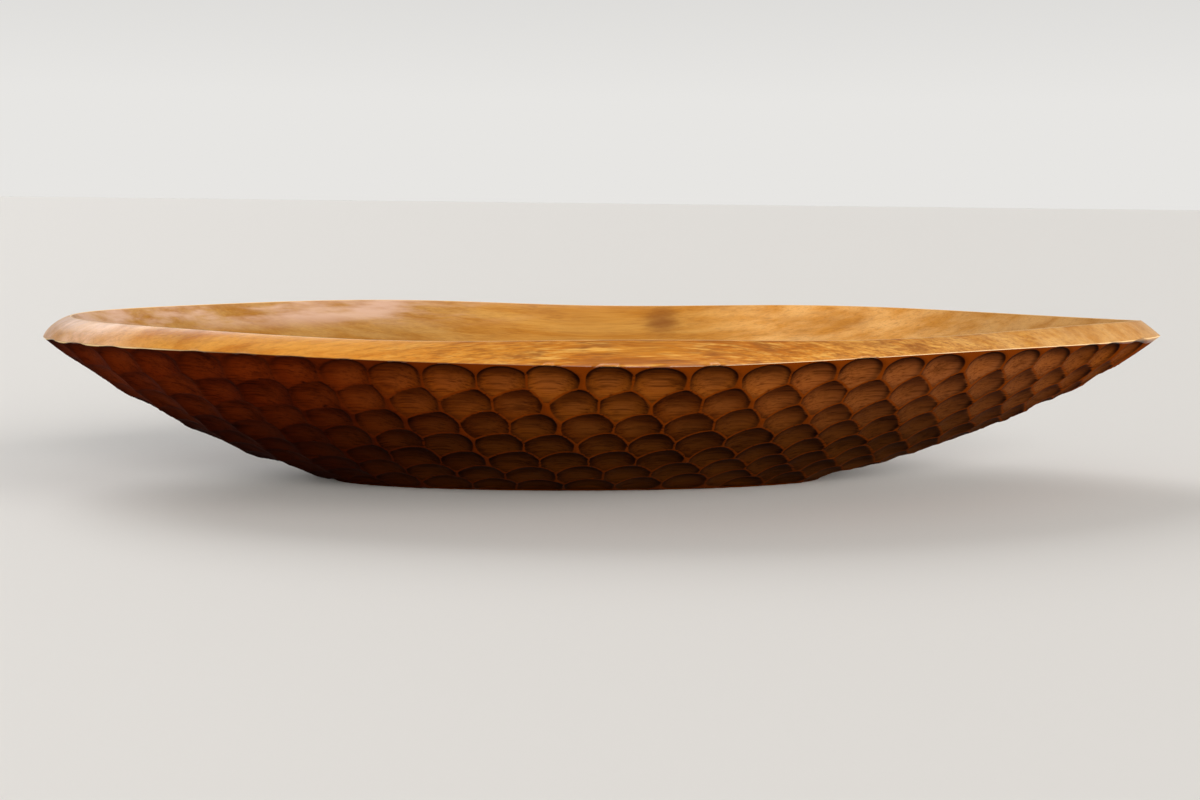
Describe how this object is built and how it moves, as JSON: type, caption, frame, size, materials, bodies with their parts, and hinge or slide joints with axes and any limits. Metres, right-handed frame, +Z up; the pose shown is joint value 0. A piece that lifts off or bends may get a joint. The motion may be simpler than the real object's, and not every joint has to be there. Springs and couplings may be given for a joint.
{
  "type": "carved wooden dough bowl",
  "caption": "Boat-shaped wooden bowl carved from one block, one end rounded and one pointed, with a gouge-scalloped outside, bevelled rim and smooth hollow.",
  "frame": {"origin": "on the foot's plane, under the middle of the bowl's length and width", "axes": "+X along the bowl towards its pointed end, +Z up out of the hollow, and the side seen in the reference picture faces -Y"},
  "size_m": [0.4523, 0.2051, 0.0668],
  "materials": {
    "oiled_wood": "oiled, satin; dark brown outside, honey-coloured rim and inside"
  },
  "bodies": {
    "root": {"bowl": "oiled_wood"}
  },
  "joints": []
}
